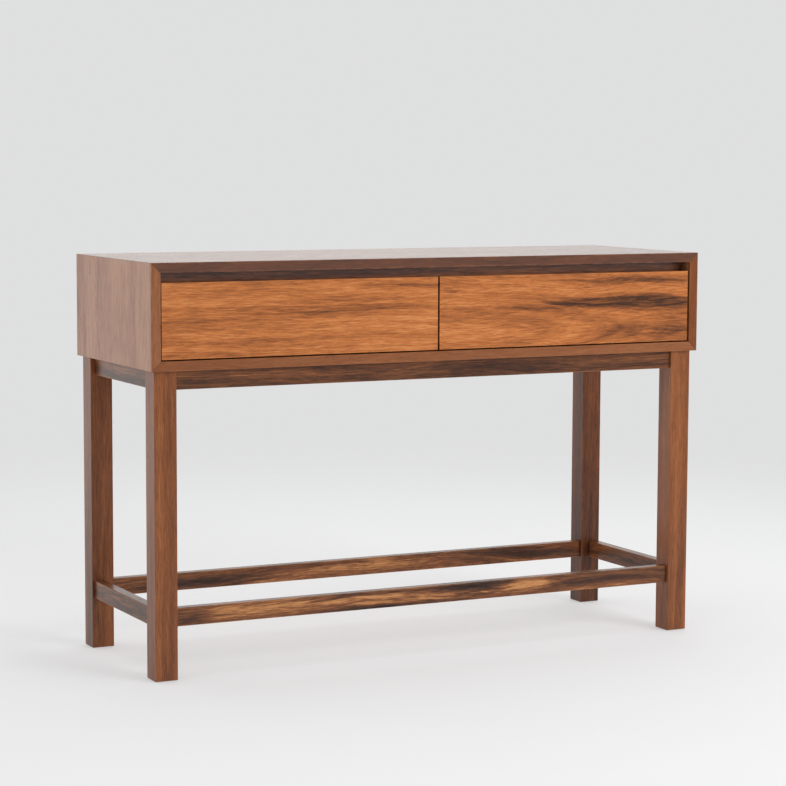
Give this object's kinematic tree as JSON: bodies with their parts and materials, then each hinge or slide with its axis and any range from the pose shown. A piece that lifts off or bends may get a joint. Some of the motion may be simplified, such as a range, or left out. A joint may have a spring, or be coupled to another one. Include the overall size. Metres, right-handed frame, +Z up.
{
  "type": "console table",
  "caption": "Console table: a mitred wooden case with side-by-side drawers and a finger gap above them, on a square-legged open base with low stretchers.",
  "frame": {"origin": "on the floor, under the middle of the case", "axes": "+X to the right along the table's length, +Y from the drawer fronts to the back, +Z up"},
  "size_m": [1.2, 0.412, 0.788],
  "materials": {
    "walnut_case": "satin clear finish over dark brown walnut, long straight grain",
    "walnut_drawer_front": "satin clear finish over lighter orange-brown walnut, figured, grain running across both drawers",
    "walnut_base": "satin clear finish over dark reddish-brown walnut",
    "drawer_box_wood": "clear matt finish over pale straight-grained hardwood",
    "drawer_bottom_ply": "smooth pale plywood",
    "back_plywood": "walnut-faced plywood, satin",
    "hardwood_block": "plain sawn hardwood, sanded",
    "slide_steel": "zinc-plated sheet steel",
    "zinc_steel": "zinc-plated steel bolts and screws",
    "nylon_glide": "dark matt nylon"
  },
  "bodies": {
    "case_and_base": {"front_left_leg": "walnut_base", "front_left_floor_glide": "nylon_glide", "front_left_corner_block": "hardwood_block", "front_left_case_bolt": "zinc_steel", "rear_left_leg": "walnut_base", "rear_left_floor_glide": "nylon_glide", "rear_left_corner_block": "hardwood_block", "rear_left_case_bolt": "zinc_steel", "front_right_leg": "walnut_base", "front_right_floor_glide": "nylon_glide", "front_right_corner_block": "hardwood_block", "front_right_case_bolt": "zinc_steel", "rear_right_leg": "walnut_base", "rear_right_floor_glide": "nylon_glide", "rear_right_corner_block": "hardwood_block", "rear_right_case_bolt": "zinc_steel", "front_apron": "walnut_base", "front_stretcher": "walnut_base", "rear_apron": "walnut_base", "rear_stretcher": "walnut_base", "left_apron": "walnut_base", "left_stretcher": "walnut_base", "right_apron": "walnut_base", "right_stretcher": "walnut_base", "case_top": "walnut_case", "case_bottom": "walnut_case", "case_left_side": "walnut_case", "case_right_side": "walnut_case", "finger_rail": "walnut_case", "case_divider": "drawer_box_wood", "case_back": "back_plywood", "left_drawer_slide_left_case_rail": "slide_steel", "left_drawer_slide_right_case_rail": "slide_steel", "right_drawer_slide_left_case_rail": "slide_steel", "right_drawer_slide_right_case_rail": "slide_steel"},
    "left_drawer": {"left_drawer_front": "walnut_drawer_front", "left_drawer_box_front": "drawer_box_wood", "left_drawer_box_back": "drawer_box_wood", "left_drawer_box_left_side": "drawer_box_wood", "left_drawer_box_right_side": "drawer_box_wood", "left_drawer_bottom": "drawer_bottom_ply", "left_drawer_front_screw_1": "zinc_steel", "left_drawer_front_screw_2": "zinc_steel", "left_drawer_slide_left_box_rail": "slide_steel", "left_drawer_slide_right_box_rail": "slide_steel"},
    "left_slide_carriage": {"left_drawer_slide_left_middle_rail": "slide_steel", "left_drawer_slide_right_middle_rail": "slide_steel"},
    "right_drawer": {"right_drawer_front": "walnut_drawer_front", "right_drawer_box_front": "drawer_box_wood", "right_drawer_box_back": "drawer_box_wood", "right_drawer_box_left_side": "drawer_box_wood", "right_drawer_box_right_side": "drawer_box_wood", "right_drawer_bottom": "drawer_bottom_ply", "right_drawer_front_screw_1": "zinc_steel", "right_drawer_front_screw_2": "zinc_steel", "right_drawer_slide_left_box_rail": "slide_steel", "right_drawer_slide_right_box_rail": "slide_steel"},
    "right_slide_carriage": {"right_drawer_slide_left_middle_rail": "slide_steel", "right_drawer_slide_right_middle_rail": "slide_steel"}
  },
  "joints": [
    {"name": "left_drawer_slide", "type": "slide", "parent": "case_and_base", "child": "left_drawer", "axis": [0, -1, 0], "range_m": [0, 0.35]},
    {"name": "left_carriage_slide", "type": "slide", "parent": "case_and_base", "child": "left_slide_carriage", "axis": [0, -1, 0], "range_m": [0, 0.175]},
    {"name": "right_drawer_slide", "type": "slide", "parent": "case_and_base", "child": "right_drawer", "axis": [0, -1, 0], "range_m": [0, 0.35]},
    {"name": "right_carriage_slide", "type": "slide", "parent": "case_and_base", "child": "right_slide_carriage", "axis": [0, -1, 0], "range_m": [0, 0.175]}
  ],
  "couplings": [
    {"joint": "left_carriage_slide", "follows": "left_drawer_slide", "ratio": 0.5},
    {"joint": "right_carriage_slide", "follows": "right_drawer_slide", "ratio": 0.5}
  ]
}
